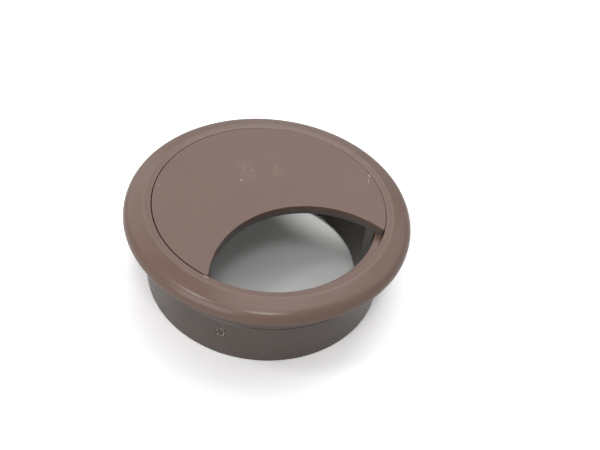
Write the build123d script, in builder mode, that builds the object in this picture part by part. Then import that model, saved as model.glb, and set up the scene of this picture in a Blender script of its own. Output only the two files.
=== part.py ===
from build123d import *
import os

# Round desk cable grommet: a flanged sleeve and the cap that closes it.
# Millimetres. The origin is on the axis, in the plane of the desk top on which the
# flange rests. +Z is up, and the cable opening of the cap is towards -Y.

# Sleeve, which fills the round hole in the desk
sleeve_radius = 30.0
sleeve_depth = 19.7
sleeve_wall = 1.8
sleeve_bore_draft = 0.2
sleeve_foot_chamfer = 0.3
witness_depth = 7.45
witness_width = 0.5
witness_cut = 0.3

# Flange, which lies on the desk and hides the edge of the hole
flange_width = 4.6
flange_fall = 2.0
rim_round = 1.6
rim_foot_chamfer = 0.3
relief_shoulder = 1.2
relief_width = 1.8
relief_height = 0.9

# Seat of the cap: a recess in the flange, with a ledge at its foot
seat_wall = 1.85
seat_slope_width = 1.6
seat_slope_rise = 0.3
seat_edge_chamfer = 0.2
crest_round = 1.0
ledge_width = 2.1
ledge_height = 0.85
ledge_thickness = 2.0

# Cap: a plate with a skirt that hangs down inside the sleeve
cap_thickness = 2.5
cap_clearance = 0.15
cap_edge_chamfer = 0.15
skirt_clearance = 0.25
skirt_wall = 2.05
skirt_draft = 0.15
skirt_bore_draft = 0.25
skirt_end_gap = 0.2

# Cable opening: a round bite out of the plate and the skirt
bite_radius = 23.65
bite_edge_from_axis = 3.25
bite_tip_round = 0.35

# Snap beads on the skirt, which catch under the ledge
bead_angles = (-5.0, 90.0, 185.0)
bead_arc = 12.0
bead_height = 1.2
bead_land = 0.3
bead_catch = 0.3
bead_gap = 0.15

# Notches in the lower edge of the skirt, one on each side
notch_angle = 27.0
notch_width = 6.2
notch_height = 0.8
notch_ramp = 1.4

# Gate mark of the moulding, sunk into the side of the sleeve
gate_angle = -131.9
gate_below_desk = 11.55
gate_half_width = 1.3
gate_half_height = 1.85
gate_sink = 0.3
gate_burr_inset = 0.3
gate_burr_wall = 0.3
gate_burr_rise = 0.12
gate_stub_half_width = 0.3
gate_stub_half_height = 0.6
gate_stub_height = 0.2

# Places that follow from the sizes above
sleeve_bore_radius = sleeve_radius - sleeve_wall
flange_radius = sleeve_radius + flange_width
seat_radius = sleeve_radius - seat_wall
ledge_radius = seat_radius - ledge_width
ledge_underside = ledge_height - ledge_thickness
cap_top = ledge_height + cap_thickness
crest_radius = seat_radius + seat_slope_width
crest_height = cap_top + seat_slope_rise
rim_height = crest_height - flange_fall
relief_inner = sleeve_radius + relief_shoulder
relief_outer = relief_inner + relief_width
cap_radius = seat_radius - cap_clearance
skirt_radius = ledge_radius - skirt_clearance
skirt_bore_radius = skirt_radius - skirt_wall
skirt_end = skirt_end_gap - sleeve_depth
bite_centre = -bite_edge_from_axis - bite_radius
bead_top = ledge_underside - bead_gap
bead_radius = ledge_radius + bead_catch
burr_half_width = gate_half_width - gate_burr_inset
burr_half_height = gate_half_height - gate_burr_inset
burr_hole_width = burr_half_width - gate_burr_wall
burr_hole_height = burr_half_height - gate_burr_wall


def facing_out(radius, angle, height):
    """Plane square to the radius at this angle, its x along the circle and its y up."""
    out = Vector(1, 0, 0).rotate(Axis.Z, angle)
    along = Vector(0, 0, 1).cross(out)
    return Plane(origin=out * radius + Vector(0, 0, height), x_dir=along, z_dir=out)


# Ring: flange, seat and sleeve, one moulding turned from its section
with BuildPart() as ring:
    with BuildSketch(Plane.XZ) as ring_section:
        with BuildLine():
            Polyline(
                (sleeve_bore_radius + sleeve_bore_draft, -sleeve_depth),
                (sleeve_radius, -sleeve_depth),
                (sleeve_radius, -witness_depth - witness_width / 2),
                (sleeve_radius - witness_cut, -witness_depth),
                (sleeve_radius, -witness_depth + witness_width / 2),
                (sleeve_radius, 0),
                (relief_inner, 0),
                (relief_inner, relief_height),
                (relief_outer, relief_height),
                (relief_outer, 0),
                (flange_radius, 0),
                (flange_radius, rim_height),
                (crest_radius, crest_height),
                (seat_radius, cap_top),
                (seat_radius, ledge_height),
                (ledge_radius, ledge_height),
                (ledge_radius, ledge_underside),
                (sleeve_bore_radius, ledge_underside),
                close=True,
            )
        make_face()
        rounded_corners = [
            ((flange_radius, rim_height), rim_round),
            ((crest_radius, crest_height), crest_round),
        ]
        for corner, round_radius in rounded_corners:
            fillet(ring_section.vertices().sort_by_distance(corner)[0], radius=round_radius)
        broken_corners = [
            ((sleeve_radius, -sleeve_depth), sleeve_foot_chamfer),
            ((flange_radius, 0), rim_foot_chamfer),
            ((seat_radius, cap_top), seat_edge_chamfer),
        ]
        for corner, chamfer_length in broken_corners:
            chamfer(ring_section.vertices().sort_by_distance(corner)[0], length=chamfer_length)
    revolve(axis=Axis.Z)

    # Gate mark: a sunk oval with the torn burr and stub of the gate in it
    gate_face = facing_out(sleeve_radius, gate_angle, -gate_below_desk)
    with BuildSketch(gate_face):
        Ellipse(gate_half_width, gate_half_height)
    extrude(amount=-gate_sink, mode=Mode.SUBTRACT)
    gate_floor = gate_face.offset(-gate_sink)
    with BuildSketch(gate_floor):
        Ellipse(burr_half_width, burr_half_height)
        Ellipse(burr_hole_width, burr_hole_height, mode=Mode.SUBTRACT)
    extrude(amount=gate_sink + gate_burr_rise)
    with BuildSketch(gate_floor):
        Ellipse(gate_stub_half_width, gate_stub_half_height)
    extrude(amount=gate_stub_height)
ring.part.label = "ring"

# Cap: plate and skirt, one moulding turned from its section
with BuildPart() as cap:
    with BuildSketch(Plane.XZ) as cap_section:
        with BuildLine():
            Polyline(
                (0, cap_top),
                (cap_radius, cap_top),
                (cap_radius, ledge_height),
                (skirt_radius, ledge_height),
                (skirt_radius - skirt_draft, skirt_end),
                (skirt_bore_radius + skirt_bore_draft, skirt_end),
                (skirt_bore_radius, ledge_height),
                (0, ledge_height),
                close=True,
            )
        make_face()
    revolve(axis=Axis.Z)

    # Snap beads, ramped below so that the cap can be pushed in
    for bead_angle in bead_angles:
        with BuildSketch(Plane.XZ.rotated((0, 0, bead_angle - bead_arc / 2))):
            with BuildLine():
                Polyline(
                    (skirt_radius - skirt_wall / 2, bead_top),
                    (bead_radius, bead_top),
                    (bead_radius, bead_top - bead_land),
                    (skirt_radius - skirt_wall / 2, bead_top - bead_height),
                    close=True,
                )
            make_face()
        revolve(axis=Axis.Z, revolution_arc=-bead_arc)

    # Notches, steep on the side of the opening and ramped on the other
    notch_sides = [1, -1]
    for side in notch_sides:
        notch_face = facing_out(skirt_bore_radius, 90 - side * (90 - notch_angle), skirt_end)
        with BuildSketch(notch_face):
            with BuildLine():
                Polyline(
                    (-side * notch_width / 2, -skirt_end_gap),
                    (-side * notch_width / 2, 0),
                    (-side * (notch_width / 2 - notch_ramp), notch_height),
                    (side * notch_width / 2, 0),
                    (side * notch_width / 2, -skirt_end_gap),
                    close=True,
                )
            make_face()
        extrude(amount=skirt_wall, both=True, mode=Mode.SUBTRACT)

    # Cable opening, straight down through the plate and the skirt
    with BuildSketch(Plane.XY.offset(cap_top)):
        with Locations((0, bite_centre)):
            Circle(bite_radius)
    extrude(amount=skirt_end - cap_top, mode=Mode.SUBTRACT)

    # Rounded tips and broken upper edge of the plate
    tips = cap.edges().filter_by(Axis.Z).filter_by_position(Axis.Z, ledge_height, cap_top)
    outer_tips = tips.sort_by(Axis.Y)[:2]
    fillet(outer_tips, radius=bite_tip_round)
    chamfer(cap.faces().sort_by(Axis.Z)[-1].edges(), length=cap_edge_chamfer)
cap.part.label = "cap"

os.makedirs("parts", exist_ok=True)
export_step(ring.part, "parts/ring.step")
export_step(cap.part, "parts/cap.step")
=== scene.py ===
import math

import bmesh
import bpy
from mathutils import Matrix, Vector, noise


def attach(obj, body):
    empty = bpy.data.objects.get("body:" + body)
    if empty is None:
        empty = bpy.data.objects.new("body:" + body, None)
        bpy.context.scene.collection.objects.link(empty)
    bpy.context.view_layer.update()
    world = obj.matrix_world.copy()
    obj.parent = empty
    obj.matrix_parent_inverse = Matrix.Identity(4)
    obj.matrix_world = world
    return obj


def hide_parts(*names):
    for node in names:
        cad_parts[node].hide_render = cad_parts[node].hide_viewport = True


# A round cable grommet for a desk, made of two brown mouldings: a flanged sleeve
# that fills the hole, and a cap with a crescent opening that lies in the flange.
# Metres, on the frame of the solid model: +Z up, the opening towards -Y. The sizes
# below are in millimetres, and MM turns them into metres; angles are in degrees.
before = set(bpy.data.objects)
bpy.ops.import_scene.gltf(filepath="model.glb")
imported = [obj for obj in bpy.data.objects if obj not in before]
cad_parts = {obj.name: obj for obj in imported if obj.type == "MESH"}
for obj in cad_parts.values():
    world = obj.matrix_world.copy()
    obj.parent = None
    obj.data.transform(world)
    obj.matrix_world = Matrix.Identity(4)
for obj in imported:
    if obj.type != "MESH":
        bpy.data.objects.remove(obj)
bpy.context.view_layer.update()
MM = 0.001

# RING
# The flanged sleeve, one injection moulding in brown plastic. The flange lies on
# the desk, its recess and ledge carry the cap, and the sleeve goes down the hole.
# It is gated on the side of the sleeve, where the broken gate left a torn burr.
SLEEVE_RADIUS = 30.0
SLEEVE_FOOT = -19.7
SLEEVE_BORE = 28.2
SLEEVE_BORE_DRAFT = 0.2
FLANGE_RADIUS = 34.6
RIM_HEIGHT = 2.3
RIM_ROUND = 2.6
CREST_RADIUS = 29.75
CREST_HEIGHT = 3.635
CREST_ROUND = 1.0
SEAT_RADIUS = 28.15
SEAT_EDGE_HEIGHT = 3.35
LEDGE_RADIUS = 26.05
LEDGE_HEIGHT = 0.85
LEDGE_UNDERSIDE = -1.15
RELIEF_INNER = 31.2
RELIEF_OUTER = 33.0
RELIEF_HEIGHT = 0.9
RELIEF_ROUND = 0.4
WITNESS_HEIGHT = -7.45
WITNESS_HALF_WIDTH = 0.25
WITNESS_CUT = 0.3
EDGE_ROUND = 0.15

GATE_ANGLE = -131.9
GATE_HEIGHT = -11.8
GATE_REACH = 2.2
GATE_HALF = (1.3, 1.9)
GATE_SINK = 0.3
GATE_BURR_ASIDE = (-0.15, 0.2)
GATE_BURR_OUTER = (1.02, 1.56)
GATE_BURR_INNER = (0.72, 1.2)
GATE_BURR_RISE = 0.12
GATE_STUB = (0.26, 0.6)
GATE_STUB_HEIGHT = 0.2
GATE_HALF_ARC = 3.4

# Small marks of handling: angle, then height or radius, half length, half height
RIM_NICK = (172.9, 1.0, 0.45, 0.5)
RIM_NICK_DEPTH = 0.3
RIM_BURR = (-153.8, 0.5, 0.4, 0.3)
RIM_BURR_RISE = 0.14
SEAT_NIB = (-141.6, 28.15, 0.75, 0.3)
SEAT_NIB_RISE = 0.22
# Edges that turn more than this are drawn sharp
SHARP_TURN = 38


def rounded_section(corners, arc_steps):
    """Closed section of (radius, height, mark of wear and painted shading) from corners of (radius,
    height, rounding, mark of wear and painted shading, spacing of the points up to the next
    corner)."""
    runs = []
    for i, (r, z, rounding, wear_and_shading, spacing) in enumerate(corners):
        here = Vector((r, z))
        arc = [(here, wear_and_shading)]
        if rounding > 0:
            back = (Vector(corners[i - 1][:2]) - here).normalized()
            ahead = (Vector(corners[(i + 1) % len(corners)][:2]) - here).normalized()
            half = back.angle(ahead) / 2
            middle = here + (back + ahead).normalized() * rounding / math.sin(half)
            first = here + back * rounding / math.tan(half) - middle
            last = here + ahead * rounding / math.tan(half) - middle
            arc = []
            for step in range(arc_steps + 1):
                share = step / arc_steps
                place = middle + first.slerp(last, share).normalized() * rounding
                # A round is rubbed, and takes its painted highlight, most in its middle
                arc.append((place, wear_and_shading * math.sin(math.pi * (0.08 + 0.84 * share))))
        runs.append((arc, spacing))
    section = []
    for i, (arc, spacing) in enumerate(runs):
        section += [(p.x, p.y, wear_and_shading) for p, wear_and_shading in arc]
        start = arc[-1][0]
        end = runs[(i + 1) % len(runs)][0][0][0]
        parts = max(1, math.ceil((end - start).length / spacing - 0.01))
        section += [(*start.lerp(end, part / parts), 0.0) for part in range(1, parts)]
    return section


def column_angles(start, end, step, marks):
    """Angles of a wall's columns, closer together around each (angle, half width, step)."""
    count = round((end - start) / step)
    angles = [start + (end - start) * i / count for i in range(count + 1)]
    for middle, half_width, fine_step in marks:
        angles = [a for a in angles if abs(a - middle) > half_width + step / 4]
        fine = math.ceil(half_width / fine_step)
        angles += [middle + half_width * i / fine for i in range(-fine, fine + 1)]
    return sorted(angles)


def soft_step(value, low, high):
    share = min(1.0, max(0.0, (value - low) / (high - low)))
    return share * share * (3 - 2 * share)


def along_wall(angle, middle, radius):
    """Length along the circle from one angle to another, the short way, in mm."""
    return math.radians((angle - middle + 180) % 360 - 180) * radius


def oval(along, up, half_length, half_height):
    """Height from 0 to 1 of a small oval mark."""
    return max(0.0, 1 - (along / half_length) ** 2 - (up / half_height) ** 2) ** 0.6


def inside_oval(along, up, half):
    """From 0 outside an upright oval to 1 inside it, softened over its edge."""
    level = math.hypot(along / half[0], up / half[1])
    slope = math.hypot(along / half[0] ** 2, up / half[1] ** 2)
    return 1 - soft_step(level * (level - 1) / max(slope, 0.001), -0.07, 0.07)


def gate_depth(along, up):
    """The gate mark: a sunk oval, a torn ring of burr in it and the stub of the gate."""
    floor = -GATE_SINK * inside_oval(along, up, GATE_HALF)
    along -= GATE_BURR_ASIDE[0]
    up -= GATE_BURR_ASIDE[1]
    turn = math.atan2(up, along)
    torn = 0.78 + 0.6 * noise.noise(Vector((math.cos(turn) * 1.7, math.sin(turn) * 1.7, 4.0)))
    burr = inside_oval(along, up, GATE_BURR_OUTER) - inside_oval(along, up, GATE_BURR_INNER)
    burr *= (GATE_SINK + GATE_BURR_RISE) * min(1.0, torn)
    return floor + burr + GATE_STUB_HEIGHT * inside_oval(along, up, GATE_STUB)


def marked_ring(r, z, angle, wear_and_shading):
    """Moves a point of the turned ring for the gate mark and the marks of handling."""
    if abs(r - SLEEVE_RADIUS) < 0.02 and abs(z - GATE_HEIGHT) < GATE_REACH:
        depth = gate_depth(along_wall(angle, GATE_ANGLE, SLEEVE_RADIUS), z - GATE_HEIGHT)
        r += depth
        # Past 1, up to 2, the mark says that the plastic is torn
        if depth != 0:
            wear_and_shading = max(wear_and_shading, 2 * soft_step(depth, -0.12, 0.04))
    if r > FLANGE_RADIUS - 0.8:
        nick = oval(along_wall(angle, RIM_NICK[0], r), z - RIM_NICK[1], *RIM_NICK[2:])
        burr = oval(along_wall(angle, RIM_BURR[0], r), z - RIM_BURR[1], *RIM_BURR[2:])
        r += RIM_BURR_RISE * burr - RIM_NICK_DEPTH * nick
        wear_and_shading = max(wear_and_shading, burr, 0.6 * nick)
    if abs(r - SEAT_RADIUS) < 0.35 and z > SEAT_EDGE_HEIGHT - 0.4:
        nib = oval(along_wall(angle, SEAT_NIB[0], r), r - SEAT_NIB[1], *SEAT_NIB[2:])
        z += SEAT_NIB_RISE * nib
        wear_and_shading = max(wear_and_shading, nib)
    return r, z, wear_and_shading


def finish_mesh(name, vertices, faces, wear_and_shading):
    """Closed smooth mesh object with a stored mark of wear and painted shading: paler rubbed edges
    with painted highlight, the torn gate above 1, painted shade below 0.
    """
    mesh = bpy.data.meshes.new(name)
    mesh.from_pydata([Vector(v) * MM for v in vertices], [], faces)
    bm = bmesh.new()
    bm.from_mesh(mesh)
    bmesh.ops.recalc_face_normals(bm, faces=bm.faces)
    for face in bm.faces:
        face.smooth = True
    for edge in bm.edges:
        edge.smooth = edge.calc_face_angle(0) < math.radians(SHARP_TURN)
    bm.to_mesh(mesh)
    bm.free()
    mesh.attributes.new("wear_and_shading", "FLOAT", "POINT").data.foreach_set("value", wear_and_shading)
    piece = bpy.data.objects.new(name, mesh)
    bpy.context.scene.collection.objects.link(piece)
    evened = piece.modifiers.new("even shading", "WEIGHTED_NORMAL")
    evened.keep_sharp = True
    return piece


# Corners of the ring's section, from the bore of the sleeve round the outside to the ledge: radius,
# height, rounding, mark of wear and painted shading, spacing
ring_section = rounded_section([
    (SLEEVE_BORE + SLEEVE_BORE_DRAFT, SLEEVE_FOOT, EDGE_ROUND, 0, 2.0),
    (SLEEVE_RADIUS, SLEEVE_FOOT, 0.14, 0.1, 2.0),
    (SLEEVE_RADIUS, GATE_HEIGHT - GATE_REACH, 0, 0, 0.1),
    (SLEEVE_RADIUS, GATE_HEIGHT + GATE_REACH, 0, 0, 1.0),
    (SLEEVE_RADIUS, WITNESS_HEIGHT - WITNESS_HALF_WIDTH, 0.08, 0.2, 1.0),
    (SLEEVE_RADIUS - WITNESS_CUT, WITNESS_HEIGHT, 0.06, 0, 1.0),
    (SLEEVE_RADIUS, WITNESS_HEIGHT + WITNESS_HALF_WIDTH, 0.08, 0.2, 2.0),
    (SLEEVE_RADIUS, 0, EDGE_ROUND, 0, 2.0),
    (RELIEF_INNER, 0, EDGE_ROUND, 0, 2.0),
    (RELIEF_INNER, RELIEF_HEIGHT, RELIEF_ROUND, 0, 2.0),
    (RELIEF_OUTER, RELIEF_HEIGHT, RELIEF_ROUND, 0, 2.0),
    (RELIEF_OUTER, 0, EDGE_ROUND, 0, 2.0),
    (FLANGE_RADIUS, 0, 0.18, 0.5, 0.15),
    (FLANGE_RADIUS, RIM_HEIGHT, RIM_ROUND, 0.1, 0.9),
    (CREST_RADIUS, CREST_HEIGHT, CREST_ROUND, 0.2, 0.7),
    (SEAT_RADIUS, SEAT_EDGE_HEIGHT, EDGE_ROUND, 0.6, 0.5),
    # Painted shade: the seat foot and the ledge get marks below 0, which darken them where shade
    # falls under the cap
    (SEAT_RADIUS, LEDGE_HEIGHT, EDGE_ROUND, -1.0, 0.8),
    (LEDGE_RADIUS, LEDGE_HEIGHT, 0.2, -0.8, 1.5),
    (LEDGE_RADIUS, LEDGE_UNDERSIDE, EDGE_ROUND, 0, 1.5),
    (SLEEVE_BORE, LEDGE_UNDERSIDE, EDGE_ROUND, 0, 2.5),
], arc_steps=6)
ring_columns = column_angles(-180, 180, step=1.0, marks=[
    (GATE_ANGLE, GATE_HALF_ARC, 0.2),
    (RIM_NICK[0], 1.0, 0.12),
    (RIM_BURR[0], 0.8, 0.12),
    (SEAT_NIB[0], 1.8, 0.15),
])[:-1]
ring_points = []
ring_wear_and_shading = []
for angle in ring_columns:
    for section_r, section_z, section_wear_and_shading in ring_section:
        r, z, wear_and_shading = marked_ring(section_r, section_z, angle, section_wear_and_shading)
        turn = math.radians(angle)
        ring_points.append((r * math.cos(turn), r * math.sin(turn), z))
        ring_wear_and_shading.append(wear_and_shading)
rows = len(ring_section)
ring_faces = []
for column in range(len(ring_columns)):
    here = column * rows
    ahead = (column + 1) % len(ring_columns) * rows
    for row in range(rows):
        above = (row + 1) % rows
        ring_faces.append((here + row, ahead + row, ahead + above, here + above))
ring = finish_mesh("ring_moulding", ring_points, ring_faces, ring_wear_and_shading)
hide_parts("ring")
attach(ring, "root")


def wire(tree, *pairs):
    for source, target in pairs:
        tree.links.new(source, target)


def make_group(name, inputs, outputs):
    """Empty shader node group; inputs are (name, kind, value), outputs (name, kind)."""
    group = bpy.data.node_groups.new(name, "ShaderNodeTree")
    face = group.interface
    for socket_name, kind, value in inputs:
        socket = face.new_socket(socket_name, in_out="INPUT", socket_type="NodeSocket" + kind)
        if value is not None:
            socket.default_value = value
    for socket_name, kind in outputs:
        face.new_socket(socket_name, in_out="OUTPUT", socket_type="NodeSocket" + kind)
    entry = group.nodes.new("NodeGroupInput")
    exit_node = group.nodes.new("NodeGroupOutput")
    return group, entry.outputs, exit_node.inputs


def noise_node(tree, where, scale, detail, roughness=0.5):
    node = tree.nodes.new("ShaderNodeTexNoise")
    node.inputs["Scale"].default_value = scale
    node.inputs["Detail"].default_value = detail
    node.inputs["Roughness"].default_value = roughness
    tree.links.new(where, node.inputs["Vector"])
    return node.outputs["Fac"]


def map_node(tree, value, from_low, from_high, to_low, to_high, smooth=False):
    node = tree.nodes.new("ShaderNodeMapRange")
    node.interpolation_type = "SMOOTHSTEP" if smooth else "LINEAR"
    node.inputs["From Min"].default_value = from_low
    node.inputs["From Max"].default_value = from_high
    node.inputs["To Min"].default_value = to_low
    node.inputs["To Max"].default_value = to_high
    tree.links.new(value, node.inputs["Value"])
    return node.outputs["Result"]


def sum_node(tree, operation, first, second):
    """Adds, multiplies or compares two values; each is a socket or a number."""
    node = tree.nodes.new("ShaderNodeMath")
    node.operation = operation
    for slot, value in enumerate((first, second)):
        if isinstance(value, (int, float)):
            node.inputs[slot].default_value = value
        else:
            tree.links.new(value, node.inputs[slot])
    return node.outputs[0]


def mix_node(tree, share, first, second):
    """Blends two colours; each is a socket or a colour."""
    node = tree.nodes.new("ShaderNodeMix")
    node.data_type = "RGBA"
    tree.links.new(share, node.inputs["Factor"])
    for socket, colour in ((node.inputs[6], first), (node.inputs[7], second)):
        if isinstance(colour, tuple):
            socket.default_value = (*colour, 1)
        else:
            tree.links.new(colour, socket)
    return node.outputs[2]


# Moulded skin: cloudy tone from the flow of the plastic and a fine spark-eroded grain.
# Tone and Roughness run from about -1 to 1
skin, skin_in, skin_out = make_group(
    "moulded skin",
    [("Where", "Vector", None), ("Cloud", "Float", 0.5), ("Grain", "Float", 0.5)],
    [("Tone", "Float"), ("Roughness", "Float"), ("Height", "Float")],
)
cloud = noise_node(skin, skin_in["Where"], 70, 3)
patches = noise_node(skin, skin_in["Where"], 420, 3, 0.6)
grain = noise_node(skin, skin_in["Where"], 3800, 3, 0.65)
orange_peel = noise_node(skin, skin_in["Where"], 900, 2)
cloud_tone = map_node(skin, cloud, 0.3, 0.7, -1, 1)
patch_tone = map_node(skin, patches, 0.25, 0.75, -0.6, 0.6)
grain_tone = map_node(skin, grain, 0.25, 0.75, -0.8, 0.8)
tone = sum_node(skin, "MULTIPLY", sum_node(skin, "ADD", cloud_tone, patch_tone), skin_in["Cloud"])
tone = sum_node(skin, "ADD", tone, sum_node(skin, "MULTIPLY", grain_tone, skin_in["Grain"]))
height = sum_node(skin, "MULTIPLY", grain, skin_in["Grain"])
height = sum_node(skin, "ADD", height, sum_node(skin, "MULTIPLY", orange_peel, 0.5))
wire(
    skin,
    (tone, skin_out["Tone"]),
    (map_node(skin, patches, 0.3, 0.7, -1, 1), skin_out["Roughness"]),
    (height, skin_out["Height"]),
)

# Rubbed edge and painted highlight: where the plastic is rounded and handled it is paler, in broken
# patches; the paleness is partly rubbing and partly a painted highlight where the rounds catch the
# light
edge_rub_and_highlight, edge_rub_and_highlight_in, edge_rub_and_highlight_out = make_group(
    "rubbed edge and painted highlight",
    [("Where", "Vector", None), ("Wear and shading", "Float", 0.0)],
    [("Rub and highlight", "Float")],
)
edge_rub_and_highlight_break = map_node(edge_rub_and_highlight, noise_node(edge_rub_and_highlight, edge_rub_and_highlight_in["Where"], 700, 4, 0.7), 0.35, 0.65, 0.35, 1.0)
edge_rub_and_highlight_amount = map_node(edge_rub_and_highlight, edge_rub_and_highlight_in["Wear and shading"], 0, 1, 0, 1)
wire(edge_rub_and_highlight, (sum_node(edge_rub_and_highlight, "MULTIPLY", edge_rub_and_highlight_amount, edge_rub_and_highlight_break), edge_rub_and_highlight_out["Rub and highlight"]))


def wear_and_shading_mark(tree):
    """The mark of wear and painted shading that finish_mesh stores in the mesh."""
    node = tree.nodes.new("ShaderNodeAttribute")
    node.attribute_name = "wear_and_shading"
    return node.outputs["Fac"]


ROUGHNESS_SPREAD = 0.02
BUMP_STRENGTH = 0.12
BUMP_DEPTH = 0.02


def brown_plastic(name, deep, pale, rub_and_highlight_colour, painted_shade_below, roughness, cloud_amount, grain_amount):
    """Satin brown plastic with painted shade: below a height it turns to a greyer, darker brown
    that stands in for the shade there; the painted shade is given as (colour, height where it is
    full, height where it ends). Returns the material, its tree, the places on the piece, the shader
    and the colour still to be wired to it."""
    material = bpy.data.materials.new(name)
    material.use_nodes = True
    tree = material.node_tree
    shader = tree.nodes["Principled BSDF"]
    where = tree.nodes.new("ShaderNodeTexCoord").outputs["Object"]
    skin_node = tree.nodes.new("ShaderNodeGroup")
    skin_node.node_tree = skin
    skin_node.inputs["Cloud"].default_value = cloud_amount
    skin_node.inputs["Grain"].default_value = grain_amount
    edge_rub_and_highlight_node = tree.nodes.new("ShaderNodeGroup")
    edge_rub_and_highlight_node.node_tree = edge_rub_and_highlight
    wire(
        tree,
        (where, skin_node.inputs["Where"]),
        (where, edge_rub_and_highlight_node.inputs["Where"]),
        (wear_and_shading_mark(tree), edge_rub_and_highlight_node.inputs["Wear and shading"]),
    )
    share = map_node(tree, skin_node.outputs["Tone"], -1, 1, 0, 1)
    colour = mix_node(tree, share, deep, pale)
    places = tree.nodes.new("ShaderNodeSeparateXYZ")
    wire(tree, (where, places.inputs[0]))
    painted_shade_colour, painted_shade_full_below, brown_above = painted_shade_below
    painted_shade_deep = tuple(0.9 * channel for channel in painted_shade_colour)
    painted_shade_pale = tuple(1.1 * channel for channel in painted_shade_colour)
    height = places.outputs["Z"]
    brown = map_node(tree, height, painted_shade_full_below * MM, brown_above * MM, 0, 1, smooth=True)
    colour = mix_node(tree, brown, mix_node(tree, share, painted_shade_deep, painted_shade_pale), colour)
    colour = mix_node(tree, edge_rub_and_highlight_node.outputs["Rub and highlight"], colour, rub_and_highlight_colour)
    rough_low = roughness - ROUGHNESS_SPREAD
    rough_high = roughness + ROUGHNESS_SPREAD
    rough = map_node(tree, skin_node.outputs["Roughness"], -1, 1, rough_low, rough_high)
    bump = tree.nodes.new("ShaderNodeBump")
    bump.inputs["Strength"].default_value = BUMP_STRENGTH
    bump.inputs["Distance"].default_value = BUMP_DEPTH * MM
    shader.inputs["Specular IOR Level"].default_value = 0.5
    shader.inputs["IOR"].default_value = 1.49
    wire(
        tree,
        (skin_node.outputs["Height"], bump.inputs["Height"]),
        (bump.outputs["Normal"], shader.inputs["Normal"]),
        (rough, shader.inputs["Roughness"]),
    )
    return material, tree, where, shader, colour


def scuff(tree, where, centre, reach, strength, turn=0.0):
    """Soft patch around a place that fades out at its reach; strength is a number, or a
    socket that breaks the patch up."""
    shift = tree.nodes.new("ShaderNodeMapping")
    shift.vector_type = "TEXTURE"
    shift.inputs["Location"].default_value = Vector(centre) * MM
    shift.inputs["Rotation"].default_value = (0, 0, math.radians(turn))
    shift.inputs["Scale"].default_value = Vector(reach) * MM
    away = tree.nodes.new("ShaderNodeVectorMath")
    away.operation = "LENGTH"
    wire(tree, (where, shift.inputs["Vector"]), (shift.outputs["Vector"], away.inputs[0]))
    inside = map_node(tree, away.outputs["Value"], 0.35, 1.0, 1.0, 0.0, smooth=True)
    return sum_node(tree, "MULTIPLY", inside, strength)


ring_plastic, ring_tree, ring_where, ring_shader, ring_colour = brown_plastic(
    "brown plastic of the ring",
    deep=(0.148, 0.086, 0.064),
    pale=(0.192, 0.116, 0.090),
    rub_and_highlight_colour=(0.36, 0.26, 0.21),
    # Painted shade: below the flange the sleeve turns to a greyer, darker brown that stands in for
    # its shade
    painted_shade_below=((0.120, 0.094, 0.082), -0.8, 0.0),
    roughness=0.25,
    cloud_amount=0.35,
    grain_amount=0.3,
)
# Pale haze in the seat beside the right end of the opening
HAZE_PLACE = (19.6, -19.4, 1.6)
HAZE_REACH = (2.4, 2.4, 2.4)
HAZE_STRENGTH = 0.35
HAZE_COLOUR = (0.30, 0.24, 0.21)
haze_noise = noise_node(ring_tree, ring_where, 900, 4, 0.7)
haze_break = map_node(ring_tree, haze_noise, 0.4, 0.65, 0.0, 1.0)
seat_haze = scuff(ring_tree, ring_where, HAZE_PLACE, HAZE_REACH, haze_break)
seat_haze = sum_node(ring_tree, "MULTIPLY", seat_haze, HAZE_STRENGTH)
ring_colour = mix_node(ring_tree, seat_haze, ring_colour, HAZE_COLOUR)
# Painted shade: the seat and the ledge, whose mark is below 0, are darkened to a deeper brown where
# shade falls in the recess under the cap
SEAT_PAINTED_SHADE_COLOUR = (0.110, 0.062, 0.044)
ring_wear_and_shade_mark = wear_and_shading_mark(ring_tree)
seat_painted_shade_share = map_node(ring_tree, ring_wear_and_shade_mark, -1.0, 0.0, 0.8, 0.0)
ring_colour = mix_node(ring_tree, seat_painted_shade_share, ring_colour, SEAT_PAINTED_SHADE_COLOUR)
# Where the gate was broken off, marked above 1, the torn plastic is pale
TORN_COLOUR = (0.62, 0.54, 0.48)
torn_share = map_node(ring_tree, ring_wear_and_shade_mark, 1.0, 2.0, 0.0, 0.9)
ring_colour = mix_node(ring_tree, torn_share, ring_colour, TORN_COLOUR)
wire(ring_tree, (ring_colour, ring_shader.inputs["Base Color"]))
ring.data.materials.append(ring_plastic)

# CAP
# The round plate with the crescent opening bitten out of it, and the skirt below,
# one moulding in the same brown plastic. It drops into the seat of the ring, where
# three beads on the skirt snap under the ledge, and fingers lift it at the opening.
CAP_RADIUS = 28.0
CAP_TOP = 3.35
CAP_UNDERSIDE = 0.85
CAP_EDGE_ROUND = 0.16
CAP_EDGE_STEPS = 5
# Paleness of the plate's rounded edge: partly rubbing, partly a painted highlight
CAP_EDGE_WEAR_AND_HIGHLIGHT = 0.55
CAP_RIM_POINTS = 256
SKIRT_OUTER = (25.8, 25.65)
SKIRT_INNER = (23.75, 24.0)
SKIRT_MIDDLE = 24.7
SKIRT_FOOT = -19.5
BITE_RADIUS = 23.65
BITE_CENTRE = -26.9
BITE_POINTS = 160
TIP_ROUND = 0.35
TIP_POINTS = 10
BEAD_ANGLES = (-5.0, 90.0, 185.0)
BEAD_HALF_ARC = 6.0
BEAD_RADIUS = 26.35
BEAD_TOP = -1.3
BEAD_LAND = -1.6
BEAD_FOOT = -2.5
NOTCHES = ((27.0, 1), (153.0, -1))
NOTCH_HALF_WIDTH = 3.1
NOTCH_HALF_ARC = 7.8
NOTCH_HEIGHT = 0.8
NOTCH_RAMP = 1.4
WHISKER_ROOT = (-0.5, -3.2, 0.95)
WHISKER_REACH = (0.1, -0.45, -0.05)
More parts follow.
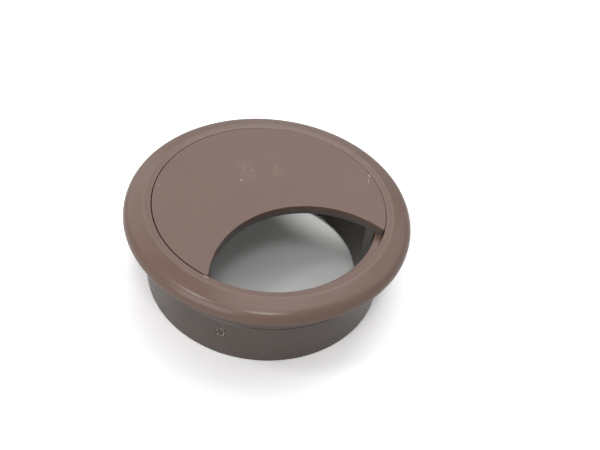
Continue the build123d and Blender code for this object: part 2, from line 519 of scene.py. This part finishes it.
WHISKER_RADIUS = 0.11
WHISKER_TAPER = 0.75
WHISKER_CURL = 0.12
WHISKER_STEPS = 5
WHISKER_SIDES = 6
# The cap lies pushed to the back and the right of its seat, within its clearance
CAP_PUSH = (0.1, 0.09)


def meets_bite(radius, bite_radius):
    """Angle at which a circle about the axis meets the bite, on the right side."""
    sine = (bite_radius ** 2 - radius ** 2 - BITE_CENTRE ** 2) / (2 * radius * -BITE_CENTRE)
    return math.degrees(math.asin(sine))


def arc_points(centre, radius, start, end, count):
    """Points along an arc, without its last one; angles in degrees."""
    turns = [math.radians(start + (end - start) * i / count) for i in range(count)]
    return [(centre.x + radius * math.cos(t), centre.y + radius * math.sin(t)) for t in turns]


tip_turn = meets_bite(CAP_RADIUS - TIP_ROUND, BITE_RADIUS + TIP_ROUND)
tip_radians = math.radians(tip_turn)
tip_centre = Vector((math.cos(tip_radians), math.sin(tip_radians))) * (CAP_RADIUS - TIP_ROUND)
bite_centre = Vector((0, BITE_CENTRE))
bite_turn = math.degrees(math.atan2(tip_centre.y - BITE_CENTRE, tip_centre.x))


def plate_outline(inset):
    """Outline of the plate, moved inwards by the inset: rim, left tip, bite, right tip."""
    axis = Vector((0, 0))
    left_tip = Vector((-tip_centre.x, tip_centre.y))
    rim = CAP_RADIUS - inset
    tip = TIP_ROUND - inset
    bite = BITE_RADIUS + inset
    outline = arc_points(axis, rim, tip_turn, 180 - tip_turn, CAP_RIM_POINTS)
    outline += arc_points(left_tip, tip, 180 - tip_turn, 360 - bite_turn, TIP_POINTS)
    outline += arc_points(bite_centre, bite, 180 - bite_turn, bite_turn, BITE_POINTS)
    outline += arc_points(tip_centre, tip, 180 + bite_turn, 360 + tip_turn, TIP_POINTS)
    return outline


cap_points = []
cap_wear_and_highlight = []
cap_faces = []
# Outlines of the plate from its rounded upper edge down: inset, height, mark of wear and painted
# highlight
layers = []
for step in range(CAP_EDGE_STEPS + 1):
    turn = math.radians(90 * step / CAP_EDGE_STEPS)
    inset = CAP_EDGE_ROUND * (1 - math.sin(turn))
    z = CAP_TOP - CAP_EDGE_ROUND * (1 - math.cos(turn))
    layers.append((inset, z, CAP_EDGE_WEAR_AND_HIGHLIGHT * math.sin(2 * turn)))
layers.append((0, (CAP_TOP + CAP_UNDERSIDE) / 2, 0))
layers.append((0, CAP_UNDERSIDE, 0))
for inset, z, wear_and_shading in layers:
    outline = plate_outline(inset)
    cap_points += [(x, y, z) for x, y in outline]
    cap_wear_and_highlight += [wear_and_shading] * len(outline)
around = len(plate_outline(0))
for layer in range(len(layers) - 1):
    upper = layer * around
    lower = upper + around
    for i in range(around):
        j = (i + 1) % around
        cap_faces.append((upper + i, upper + j, lower + j, lower + i))
cap_faces.append(tuple(range(around)))
cap_faces.append(tuple((len(layers) - 1) * around + i for i in range(around)))

# Corners of the skirt's section: radius, height, rounding, mark of wear and painted shading,
# spacing
skirt_section = rounded_section([
    (SKIRT_INNER[0], CAP_UNDERSIDE, 0, 0, 1.0),
    (SKIRT_OUTER[0], CAP_UNDERSIDE, 0, 0, 2.5),
    (SKIRT_OUTER[0], BEAD_TOP + 0.02, 0, 0, 2.0),
    (SKIRT_OUTER[0], BEAD_TOP, 0, 0, 2.0),
    (SKIRT_OUTER[0], BEAD_LAND, 0, 0, 0.2),
    (SKIRT_OUTER[0], BEAD_FOOT, 0, 0, 2.5),
    (SKIRT_OUTER[1], SKIRT_FOOT, 0.2, 0, 1.0),
    (SKIRT_INNER[1], SKIRT_FOOT, 0.15, 0, 2.5),
], arc_steps=4)
skirt_start = meets_bite(SKIRT_MIDDLE, BITE_RADIUS)
skirt_columns = column_angles(skirt_start, 180 - skirt_start, step=1.0, marks=[
    (BEAD_ANGLES[0], BEAD_HALF_ARC + 0.1, 0.5),
    (BEAD_ANGLES[1], BEAD_HALF_ARC + 0.1, 0.5),
    (BEAD_ANGLES[2], BEAD_HALF_ARC + 0.1, 0.5),
    (NOTCHES[0][0], NOTCH_HALF_ARC, 0.25),
    (NOTCHES[1][0], NOTCH_HALF_ARC, 0.25),
])


def shaped_skirt(r, z, angle):
    """Puts the snap beads on the outside of the skirt and the notches in its foot."""
    for bead in BEAD_ANGLES:
        beside = abs(angle - bead) <= BEAD_HALF_ARC
        if beside and BEAD_FOOT < z <= BEAD_TOP + 0.001 and r > SKIRT_MIDDLE:
            share = min(1.0, (z - BEAD_FOOT) / (BEAD_LAND - BEAD_FOOT))
            r += (BEAD_RADIUS - r) * share
    for middle, side in NOTCHES:
        along = side * along_wall(angle, middle, SKIRT_INNER[0])
        if z < SKIRT_FOOT + 0.25 and abs(along) < NOTCH_HALF_WIDTH:
            steep = (along + NOTCH_HALF_WIDTH) / NOTCH_RAMP
            gentle = (NOTCH_HALF_WIDTH - along) / (2 * NOTCH_HALF_WIDTH - NOTCH_RAMP)
            z += NOTCH_HEIGHT * min(steep, gentle)
    return r, z


first_skirt_point = len(cap_points)
for column in skirt_columns:
    share = (column - skirt_start) / (180 - 2 * skirt_start)
    for section_r, section_z, wear_and_shading in skirt_section:
        start = meets_bite(section_r, BITE_RADIUS)
        angle = start + share * (180 - 2 * start)
        r, z = shaped_skirt(section_r, section_z, angle)
        turn = math.radians(angle)
        cap_points.append((r * math.cos(turn), r * math.sin(turn), z))
        cap_wear_and_highlight.append(wear_and_shading)
rows = len(skirt_section)
for column in range(len(skirt_columns) - 1):
    here = first_skirt_point + column * rows
    for row in range(rows):
        above = (row + 1) % rows
        cap_faces.append((here + row, here + rows + row, here + rows + above, here + above))
cap_faces.append(tuple(first_skirt_point + row for row in range(rows)))
last_column = first_skirt_point + (len(skirt_columns) - 1) * rows
cap_faces.append(tuple(last_column + row for row in range(rows)))

# A whisker of flash on the lower edge of the opening: a thin curl that tapers
first_whisker_point = len(cap_points)
for place in range(WHISKER_STEPS + 1):
    share = place / WHISKER_STEPS
    thick = WHISKER_RADIUS * (1 - WHISKER_TAPER * share)
    curl = Vector((0, 0, WHISKER_CURL * math.sin(math.pi * share)))
    middle = Vector(WHISKER_ROOT) + Vector(WHISKER_REACH) * share + curl
    for side in range(WHISKER_SIDES):
        turn = math.radians(360 * side / WHISKER_SIDES)
        x = middle.x + thick * math.cos(turn)
        z = middle.z + thick * math.sin(turn)
        cap_points.append((x, middle.y, z))
        cap_wear_and_highlight.append(1.0)
for place in range(WHISKER_STEPS):
    here = first_whisker_point + place * WHISKER_SIDES
    ahead = here + WHISKER_SIDES
    for side in range(WHISKER_SIDES):
        beside = (side + 1) % WHISKER_SIDES
        cap_faces.append((here + side, here + beside, ahead + beside, ahead + side))
last_whisker_point = first_whisker_point + WHISKER_STEPS * WHISKER_SIDES
cap_faces.append(tuple(first_whisker_point + side for side in range(WHISKER_SIDES)))
cap_faces.append(tuple(last_whisker_point + side for side in range(WHISKER_SIDES)))
cap_points = [(x + CAP_PUSH[0], y + CAP_PUSH[1], z) for x, y, z in cap_points]
cap = finish_mesh("cap_moulding", cap_points, cap_faces, cap_wear_and_highlight)
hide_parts("cap")
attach(cap, "root")

cap_plastic, cap_tree, cap_where, cap_shader, cap_colour = brown_plastic(
    "brown plastic of the cap",
    deep=(0.148, 0.087, 0.067),
    pale=(0.188, 0.115, 0.091),
    rub_and_highlight_colour=(0.36, 0.26, 0.21),
    # Painted shade: the walls of the opening and the skirt under the plate turn to a greyer, darker
    # brown that stands in for their shade
    painted_shade_below=((0.110, 0.100, 0.090), 1.2, 3.1),
    roughness=0.38,
    cloud_amount=0.3,
    grain_amount=0.3,
)
# Rubbed patches on the plate: place and reach of each
RUBBED_PATCHES = (
    ((-1.4, 11.8, CAP_TOP), (3.0, 5.5, 3.0)),
    ((-3.2, 8.4, CAP_TOP), (2.0, 1.5, 3.0)),
    ((5.6, 9.8, CAP_TOP), (2.6, 2.6, 3.0)),
)
RUBBED_STRENGTH = 0.35
RUBBED_COLOUR = (0.31, 0.235, 0.20)
scuff_noise = noise_node(cap_tree, cap_where, 650, 5, 0.75)
scuff_break = map_node(cap_tree, scuff_noise, 0.42, 0.68, 0.0, 1.0)
scuffs = 0.0
for centre, reach in RUBBED_PATCHES:
    patch = scuff(cap_tree, cap_where, centre, reach, scuff_break)
    scuffs = sum_node(cap_tree, "MAXIMUM", scuffs, patch)
scuffs = sum_node(cap_tree, "MULTIPLY", scuffs, RUBBED_STRENGTH)
cap_colour = mix_node(cap_tree, scuffs, cap_colour, RUBBED_COLOUR)
# A faint scratch near the right edge of the plate, and flecks: place, reach, strength
SCRATCH_PLACE = (26.4, -1.0, CAP_TOP)
SCRATCH_REACH = (2.3, 0.16, 1.0)
SCRATCH_TURN = 57.0
FLECKS = (
    ((28.0, 4.7, CAP_TOP), (0.34, 0.34, 1.0), 1.0),
    ((27.6, 0.9, CAP_TOP), (0.26, 0.55, 1.0), 0.55),
    ((-4.1, 8.9, CAP_TOP), (0.32, 0.32, 1.0), 0.7),
    ((-23.7, 13.0, CAP_TOP), (0.25, 0.25, 1.0), 0.35),
)
FLECK_COLOUR = (0.66, 0.61, 0.55)
scratch_break = map_node(cap_tree, scuff_break, 0, 1, 0.1, 0.5)
marks = scuff(cap_tree, cap_where, SCRATCH_PLACE, SCRATCH_REACH, scratch_break, SCRATCH_TURN)
for centre, reach, strength in FLECKS:
    fleck = scuff(cap_tree, cap_where, centre, reach, strength)
    marks = sum_node(cap_tree, "MAXIMUM", marks, fleck)
cap_colour = mix_node(cap_tree, marks, cap_colour, FLECK_COLOUR)
wire(cap_tree, (cap_colour, cap_shader.inputs["Base Color"]))
cap.data.materials.append(cap_plastic)

# TABLE TOP
# The plain white surface on which the grommet stands, foot down. It looks white to
# the camera in open light and takes the soft shadow of the grommet.
TABLE_HALF = 1500.0
TABLE_GAP = 0.02
TABLE_LIT = (0.82, 0.82, 0.82)
TABLE_MIRRORED = (0.9, 0.9, 0.9)
TABLE_SEEN = (1.5, 1.5, 1.5)
# Painted shade: the darker colour the camera sees on the table inside the sleeve
TABLE_SEEN_IN_PAINTED_SHADE = (0.8, 0.8, 0.8)
TABLE_GLOW_COLOUR = (1.0, 1.0, 0.97, 1)
table_mesh = bpy.data.meshes.new("table top")
table_bm = bmesh.new()
bmesh.ops.create_grid(table_bm, x_segments=12, y_segments=12, size=TABLE_HALF * MM)
table_drop = (0, 0, (SLEEVE_FOOT - TABLE_GAP) * MM)
bmesh.ops.translate(table_bm, verts=table_bm.verts, vec=table_drop)
table_bm.to_mesh(table_mesh)
table_bm.free()
floor = bpy.data.objects.new("table_top", table_mesh)
bpy.context.scene.collection.objects.link(floor)
table_paint = bpy.data.materials.new("white table top")
table_paint.use_nodes = True
table_tree = table_paint.node_tree
table_shader = table_tree.nodes["Principled BSDF"]
table_shader.inputs["Roughness"].default_value = 0.6
table_shader.inputs["Emission Color"].default_value = TABLE_GLOW_COLOUR
table_where = table_tree.nodes.new("ShaderNodeTexCoord").outputs["Object"]


def round_patch(centre, full, ends):
    """1 within a distance of a place on the table, fading to 0 further out."""
    away = table_tree.nodes.new("ShaderNodeVectorMath")
    away.operation = "DISTANCE"
    away.inputs[1].default_value = Vector((*centre, SLEEVE_FOOT)) * MM
    wire(table_tree, (table_where, away.inputs[0]))
    return map_node(table_tree, away.outputs["Value"], full * MM, ends * MM, 1, 0, smooth=True)


# Inside the sleeve the camera sees the table darker, a painted shade, with an even painted glow in
# the shade and a painted pool of light along the right and back wall; far from the grommet it fades
# to white. Only the camera sees this, so it puts no light on the grommet
SHADE_GLOW = 0.06
SHADE_REACH = (23.5, 24.5)
POOL_GLOW = 0.42
POOL_CENTRE = (39.1, 22.6)
POOL_REACH = (20.0, 33.0)
FAR_REACH = (140.0, 400.0)
inside_sleeve = round_patch((0, 0), *SHADE_REACH)
light_pool = round_patch(POOL_CENTRE, *POOL_REACH)
glow = sum_node(table_tree, "MULTIPLY", light_pool, POOL_GLOW)
glow = sum_node(table_tree, "ADD", glow, SHADE_GLOW)
glow = sum_node(table_tree, "MULTIPLY", glow, inside_sleeve)
far_white = sum_node(table_tree, "SUBTRACT", 1.0, round_patch((0, 0), *FAR_REACH))
glow = sum_node(table_tree, "ADD", glow, far_white)
table_rays = table_tree.nodes.new("ShaderNodeLightPath").outputs
table_seen = sum_node(
    table_tree, "MAXIMUM", table_rays["Is Camera Ray"], table_rays["Is Transmission Ray"]
)
glow_seen = sum_node(table_tree, "MULTIPLY", glow, table_seen)
table_colour = mix_node(table_tree, table_rays["Is Glossy Ray"], TABLE_LIT, TABLE_MIRRORED)
seen_colour = mix_node(table_tree, inside_sleeve, TABLE_SEEN, TABLE_SEEN_IN_PAINTED_SHADE)
table_colour = mix_node(table_tree, table_seen, table_colour, seen_colour)
wire(
    table_tree,
    (table_colour, table_shader.inputs["Base Color"]),
    (glow_seen, table_shader.inputs["Emission Strength"]),
)
floor.data.materials.append(table_paint)

# LIGHT
# A faint even room light that looks white to the camera and pale in reflections.
# Broad panels behind, above and at the sides light the brown plastic evenly; two small
# lamps, high on the left and over the front, put the bright lines on the rim.
ROOM_LIGHT = 0.14
ROOM_MIRRORED = 0.7
world = bpy.data.worlds.new("bright room")
bpy.context.scene.world = world
world.use_nodes = True
room_tree = world.node_tree
room = room_tree.nodes["Background"]
room.inputs["Color"].default_value = (1, 1, 1, 1)
room_rays = room_tree.nodes.new("ShaderNodeLightPath").outputs
room_strength = map_node(room_tree, room_rays["Is Glossy Ray"], 0, 1, ROOM_LIGHT, ROOM_MIRRORED)
for ray in ("Is Camera Ray", "Is Transmission Ray"):
    room_strength = sum_node(room_tree, "MAXIMUM", room_rays[ray], room_strength)
wire(room_tree, (room_strength, room.inputs["Strength"]))


def lamp(name, azimuth, elevation, distance, size, strength):
    """Square lamp that looks at the grommet from that side, distance and size in metres;
    strength is how light it makes a white face that is turned towards it."""
    light = bpy.data.lights.new(name, "AREA")
    light.size = size
    light.energy = strength * (math.pi * distance) ** 2
    lamp_object = bpy.data.objects.new(name, light)
    turn, rise = math.radians(azimuth), math.radians(elevation)
    out = Vector((math.cos(turn) * math.cos(rise), math.sin(turn) * math.cos(rise), math.sin(rise)))
    lamp_object.location = out * distance
    lamp_object.rotation_euler = out.to_track_quat("Z", "Y").to_euler()
    bpy.context.scene.collection.objects.link(lamp_object)


# Azimuth, elevation, distance, size, strength
lamp("panel behind", 60, 45, 1.2, 1.0, 0.18)
lamp("panel behind on the left", 108, 32, 1.2, 0.8, 0.12)
lamp("panel on the right", 5, 48, 1.2, 0.8, 0.11)
lamp("lamp high on the left", 172, 62, 1.2, 0.2, 0.10)
lamp("panel low on the left", -155, 30, 1.0, 0.7, 0.32)
lamp("panel overhead", 45, 69, 1.0, 0.6, 0.20)
lamp("panel straight above", -117, 86, 1.0, 0.45, 0.08)
lamp("lamp over the front", -110, 66, 1.0, 0.2, 0.15)

# CAMERA
# A little above the desk, looking down at 45 degrees; its place and turn follow from
# the ellipses of the flange, the seam, the opening and the foot in the photograph.
CAMERA_PLACE = (-54.408, -107.878, 116.794)
CAMERA_RIGHT = (0.90690, -0.40664, 0.11035)
CAMERA_UP = (0.21962, 0.67972, 0.69982)
CAMERA_AHEAD = (0.35959, 0.61043, -0.70574)
IMAGE_WIDTH = 600
FOCAL_PIXELS = 690.53
camera_data = bpy.data.cameras.new("camera")
camera_data.sensor_fit = "HORIZONTAL"
camera_data.sensor_width = 36
camera_data.lens = FOCAL_PIXELS * camera_data.sensor_width / IMAGE_WIDTH
camera_data.clip_start = 0.01
camera_data.clip_end = 20
camera = bpy.data.objects.new("camera", camera_data)
turned = Matrix((CAMERA_RIGHT, CAMERA_UP, -Vector(CAMERA_AHEAD))).transposed()
camera.matrix_world = Matrix.Translation(Vector(CAMERA_PLACE) * MM) @ turned.to_4x4()
bpy.context.scene.collection.objects.link(camera)
bpy.context.scene.camera = camera
bpy.context.scene.view_settings.view_transform = "Standard"
